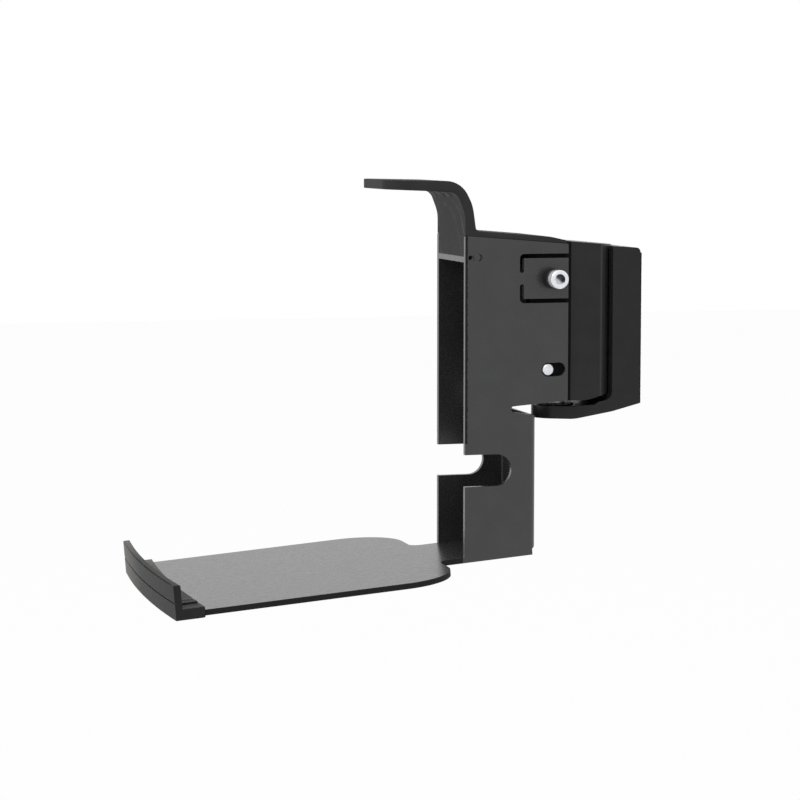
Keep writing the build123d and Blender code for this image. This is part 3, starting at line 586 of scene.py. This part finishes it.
# The plug weld of the cross plate shows in each flange: a low domed button, a near-black crescent
# behind it as painted shade, and a near-black blot between it and the edge as the painted shade
# of a small hole. Weld shade black: a rough, matt black for this painted shade.
weld_shade_black = surface("weld_shade_black", light="#080808", dark="#030303", patch_mm=1.0, grain_mm=0.3,
                     depth_mm=0.05, rough=0.98, **{"Specular IOR Level": 0.1})
weld_seat = 26.55 * mm
weld_proud = 0.5 * mm
weld_z = 38.0 * mm
button_x = -93.4 * mm
button_reach = 1.9 * mm
button_dome = ((0.96, 1.0), (1.1, 0.85), (1.16, 0.3))
button_steps = 32
crescent_width = 0.8 * mm
crescent_reach = 1.2 * button_reach
blot_x = -97.3 * mm
blot_length = 1.2
burr = random.Random(11)
blot_rim = [burr.uniform(0.7, 1.25) * mm for step in range(24)]


def crescent(reach, width):
    """Plan of a sickle that bulges towards +X, from one tip round to the other and back."""
    count = 16
    tip_turn = 75
    taper = 1.2
    turns = [radians(-tip_turn + 2 * tip_turn * step / count) for step in range(count + 1)]
    outer = [(reach * cos(turn), reach * sin(turn)) for turn in turns]
    inner = [(reach * cos(turn) - width * cos(turn * taper), reach * sin(turn))
             for turn in reversed(turns[1:-1])]
    return outer + inner


for side, name in ((-1, "near"), (1, "far")):
    rows = [(0, button_reach)] + [(weld_proud * up, button_reach * out) for up, out in button_dome]
    points, faces = lathe(rows, button_steps)
    points = [(button_x + x, side * (weld_seat + z), weld_z + y) for x, y, z in points]
    piece(f"weld_button_{name}", points, faces, powder_coat, "cradle")
    # Painted shade: the blot and the crescent in near black.
    rows = [(height, lambda step: blot_rim[step]) for height in (0, weld_proud)]
    points, faces = lathe(rows, len(blot_rim))
    points = [(blot_x + x * blot_length, side * (weld_seat + z), weld_z + y) for x, y, z in points]
    piece(f"weld_hole_shade_{name}", points, faces, weld_shade_black, "cradle", smooth=False)
    plan = crescent(crescent_reach, crescent_width)
    points = [(button_x + x, side * (weld_seat + depth), weld_z + z)
              for depth in (0, weld_proud) for x, z in plan]
    count = len(plan)
    faces = [tuple(range(count)), tuple(range(count, 2 * count))]
    faces += [(step, (step + 1) % count, (step + 1) % count + count, step + count)
              for step in range(count)]
    piece(f"weld_crescent_shade_{name}", points, faces, weld_shade_black, "cradle",
          smooth=False)


# Top hook: injection-moulded ABS, screwed down on the cross plate. Arm, bend, tongue and cap are
# one moulding, with three short grooves where the arm runs into the bend.
# Moulded ABS: a fine spark-eroded texture makes it matt, with painted highlights on its inner face.
moulded_abs = surface("moulded_abs", light="#313131", dark="#2d2d2d", patch_mm=10.0, grain_mm=0.35,
                      depth_mm=0.012, rough=0.6, worn="#393939", **{"Specular IOR Level": 0.13})

# The painted highlights are thin light slanting streaks on the face that a box is pushed against.
streak_turn = (radians(-30), 0, 0)
streak_stretch = (1, 1, 30)
streak_size = 2.4 * mm
highlight_half = 25.6 * mm
highlight_top = 73.0 * mm
inward = -0.3
tree, base, _ = opened(moulded_abs)
plain_abs = source(base)
place = add(tree, "ShaderNodeTexCoord").outputs["Object"]
drawn = add(tree, "ShaderNodeMapping",
            {"vector_type": "TEXTURE", "Rotation": streak_turn, "Scale": streak_stretch},
            {"Vector": place})
lines = add(tree, "ShaderNodeTexNoise", {"Scale": 1 / streak_size, "Detail": 3.0},
            {"Vector": drawn.outputs[0]})
streak_highlights = ramp(tree, lines.outputs["Fac"], start=0.62, end=0.71, high=0.6)
axes = split(tree, place)
middle = maths(tree, "COMPARE", axes["Y"], 0.0, highlight_half)
under = maths(tree, "LESS_THAN", axes["Z"], highlight_top)
facing = split(tree, add(tree, "ShaderNodeTexCoord").outputs["Normal"])
inner = maths(tree, "LESS_THAN", facing["X"], inward)
for limit in (middle, under, inner):
    streak_highlights = maths(tree, "MULTIPLY", streak_highlights, limit)
# Painted highlights: light streaks on the inner face.
tree.links.new(tint(tree, streak_highlights, plain_abs, "#747474"), base)

# Sizes in the side view, in millimetres. A line is an X, the Z there and its fall in degrees.
hook_tip = -143.8
hook_under = (-109.0, 73.0, 2.4)
hook_over = (-109.0, 78.8, 1.2)
flange_top = (-100.0, 49.6, 4.73)
hook_front = -100.0
hook_foot = -43.0
foot_rise = 3.1
foot_end_rise = 1.8
hook_half = 27.0
hook_edge = 0.6
tip_radius = 8.5
tip_corner = (25.9, 25.1, 24.0, 22.7, 21.2, 19.8, 18.5)
tongue_half = 23.9
tongue_front = hook_front + 0.02
tongue_back = -76.0
tongue_foot = 38.4
tongue_sunk = 0.6
groove_pitch = 14.5
groove_half = 0.8
groove_floor = 0.92
groove_depth = 1.6
groove_start = -134.0
groove_end_z = 69.6
groove_fade = 2.6
face_slack = 0.1
under_slack = 0.3


def line_z(line, x):
    """Height at X of a line that falls towards the wall by an angle."""
    return line[1] - (x - line[0]) * tan(radians(line[2]))


def flange_z(x):
    """Height of the flanges' sloping top edge."""
    return line_z(flange_top, x)


def rounded(corners):
    """Points of a closed outline whose corners each have a radius."""
    step_angle = radians(6)
    points = []
    for number, (x, z, radius) in enumerate(corners):
        if not radius:
            points.append((x, z))
            continue
        ways = []
        for other in (corners[number - 1], corners[(number + 1) % len(corners)]):
            length = hypot(other[0] - x, other[1] - z)
            ways.append(((other[0] - x) / length, (other[1] - z) / length))
        opening = acos(ways[0][0] * ways[1][0] + ways[0][1] * ways[1][1])
        middle = (ways[0][0] + ways[1][0], ways[0][1] + ways[1][1])
        reach = radius / sin(opening / 2) / hypot(*middle)
        centre = (x + middle[0] * reach, z + middle[1] * reach)
        run = radius / tan(opening / 2)
        ends = [atan2(z + way[1] * run - centre[1], x + way[0] * run - centre[0]) for way in ways]
        sweep = (ends[1] - ends[0] + pi) % (2 * pi) - pi
        count = max(3, round(abs(sweep) / step_angle))
        for step in range(count + 1):
            angle = ends[0] + sweep * step / count
            points.append((centre[0] + radius * cos(angle), centre[1] + radius * sin(angle)))
    return points


def inset(points, depth):
    """An outline, clockwise, moved inwards by a depth given for each of its points."""
    moved = []
    for number, (x, z) in enumerate(points):
        before, after = points[number - 1], points[(number + 1) % len(points)]
        normals = []
        for start, end in ((before, (x, z)), ((x, z), after)):
            length = hypot(end[0] - start[0], end[1] - start[1])
            normals.append(((end[1] - start[1]) / length, (start[0] - end[0]) / length))
        middle = (normals[0][0] + normals[1][0], normals[0][1] + normals[1][1])
        scale = 2 / max(0.5, middle[0] ** 2 + middle[1] ** 2)
        moved.append((x + middle[0] * scale * depth[number], z + middle[1] * scale * depth[number]))
    return moved


def hook_outline(tip):
    """Side view of the hook, clockwise from the upper corner of its tip: X, Z and radius."""
    return rounded([
        (tip, line_z(hook_over, tip), 0.6),
        (-102.5, line_z(hook_over, -102.5), 13.6),
        (-95.85, 66.2, 23.5),
        (-93.9, flange_z(-93.9) + foot_rise, 2.2),
        (-52.0, flange_z(-52.0) + foot_rise, 20.0),
        (hook_foot, flange_z(hook_foot) + foot_end_rise, 1.2),
        (hook_foot, flange_z(hook_foot), 0),
        (hook_front, flange_z(hook_front), 0),
        (hook_front, 60.8, 19.2),
        (-104.6, line_z(hook_under, -104.6), 6.5),
        (groove_start, line_z(hook_under, groove_start), 0),
        (groove_start - 0.1, line_z(hook_under, groove_start - 0.1), 0),
        (tip, line_z(hook_under, tip), 0.6),
    ])


# Each station across the hook: its Y, how far its rounded edge draws in, and its share of a groove.
stations = []
for turn in (90, 60, 30, 0):
    stations.append((hook_half - hook_edge * (1 - sin(radians(turn))),
                     hook_edge * (1 - cos(radians(turn))), 0))
stations += [(y, 0, 0) for y in tip_corner]
for y in (groove_pitch, 0):
    for side, share in ((1, 0), (groove_floor, 1), (-groove_floor, 1), (-1, 0)):
        if y + side * groove_half > 0:
            stations.append((y + side * groove_half, 0, share))
stations += [(-y, edge, share) for y, edge, share in reversed(stations)]

points = []
for y, edge, share in stations:
    past = max(0.0, abs(y) - hook_half + tip_radius)
    view = hook_outline(hook_tip + tip_radius - sqrt(tip_radius ** 2 - past ** 2))
    cuts = []
    for x, z in view:
        fade = min(1.0, max(0.0, (z - groove_end_z) / groove_fade))
        grooved = (groove_start <= x <= hook_front + face_slack
                   and z < line_z(hook_under, x) + under_slack)
        cuts.append(edge + (groove_depth * share * fade if grooved else 0))
    points += [(x * mm, y * mm, z * mm) for x, z in inset(view, cuts)]
around = len(view)
faces = [tuple(range(around)), tuple(range(len(points) - around, len(points)))]
for row in range(len(stations) - 1):
    here, after = row * around, (row + 1) * around
    for step in range(around):
        beside = (step + 1) % around
        faces.append((here + step, here + beside, after + beside, after + step))

start = len(points)
for x, z in ((tongue_front, tongue_foot), (tongue_back, tongue_foot),
             (tongue_back, flange_z(tongue_back) + tongue_sunk),
             (tongue_front, flange_z(tongue_front) + tongue_sunk)):
    points += [(x * mm, side * tongue_half * mm, z * mm) for side in (-1, 1)]
faces += [tuple(start + number for number in loop) for loop in
          ((0, 2, 4, 6), (1, 3, 5, 7), (0, 1, 3, 2), (2, 3, 5, 4), (4, 5, 7, 6), (6, 7, 1, 0))]
hook = piece("moulded_hook", points, faces, moulded_abs, "cradle")
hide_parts("top_hook")
dress(black_oxide, "hook_screws")


# Front lip: moulded in black elastomer, clipped over the front edge of the tray and screwed down
# from below. Black elastomer: dull, with a soft sheen where it curves up to the white wall.
black_elastomer = surface("black_elastomer", light="#2d2d2c", dark="#292928", patch_mm=8.0,
                          grain_mm=0.5, depth_mm=0.008, rough=0.44, worn="#363635",
                          **{"Specular IOR Level": 0.04})

# Towards its far end the rubber is painted a lighter grey: a painted sheen on its curved front.
sheen_start, sheen_end = 5.0 * mm, 85.0 * mm
sheen_share = 0.65
tree, base, _ = opened(black_elastomer)
plain_rubber = source(base)
axes = split(tree, add(tree, "ShaderNodeTexCoord").outputs["Object"])
painted_sheen = ramp(tree, axes["Y"], sheen_start, sheen_end, high=sheen_share)
# Painted sheen: lighter grey towards the far end.
tree.links.new(tint(tree, painted_sheen, plain_rubber, "#7d7a74"), base)
dress(black_elastomer, "front_lip")
dress(black_oxide, "lip_screws")

# A cap of the same elastomer closes the dish over each screw, flush with the pad and its rear edge.
cap_steps = 48
cap_radius = 4.42 * mm
cap_rear = 3.3 * mm
cap_height = 0.4 * mm
cap_side = 0.8
cap_top = 0.97
cap_x, cap_y, cap_z = -158.0 * mm, 56.0 * mm, 2.1 * mm
tray_x, tray_z = -100.0 * mm, -123.6 * mm
tray_slope = radians(4.59)


def cap_reach(step):
    """The cap's rim, cut straight along the rear edge of the pad."""
    turn = 2 * pi * step / cap_steps
    return min(cap_radius, cap_rear / max(0.01, cos(turn)))


for side, name in ((-1, "near"), (1, "far")):
    rows = [(0, cap_reach), (cap_height * cap_side, cap_reach),
            (cap_height, lambda step: cap_reach(step) * cap_top)]
    points, faces = lathe(rows, cap_steps)
    points = [(cap_x + x, side * cap_y + y, cap_z + z) for x, y, z in points]
    points = [(tray_x + x * cos(tray_slope) - z * sin(tray_slope), y,
               tray_z + x * sin(tray_slope) + z * cos(tray_slope)) for x, y, z in points]
    piece(f"screw_cap_{name}", points, faces, black_elastomer, "cradle")
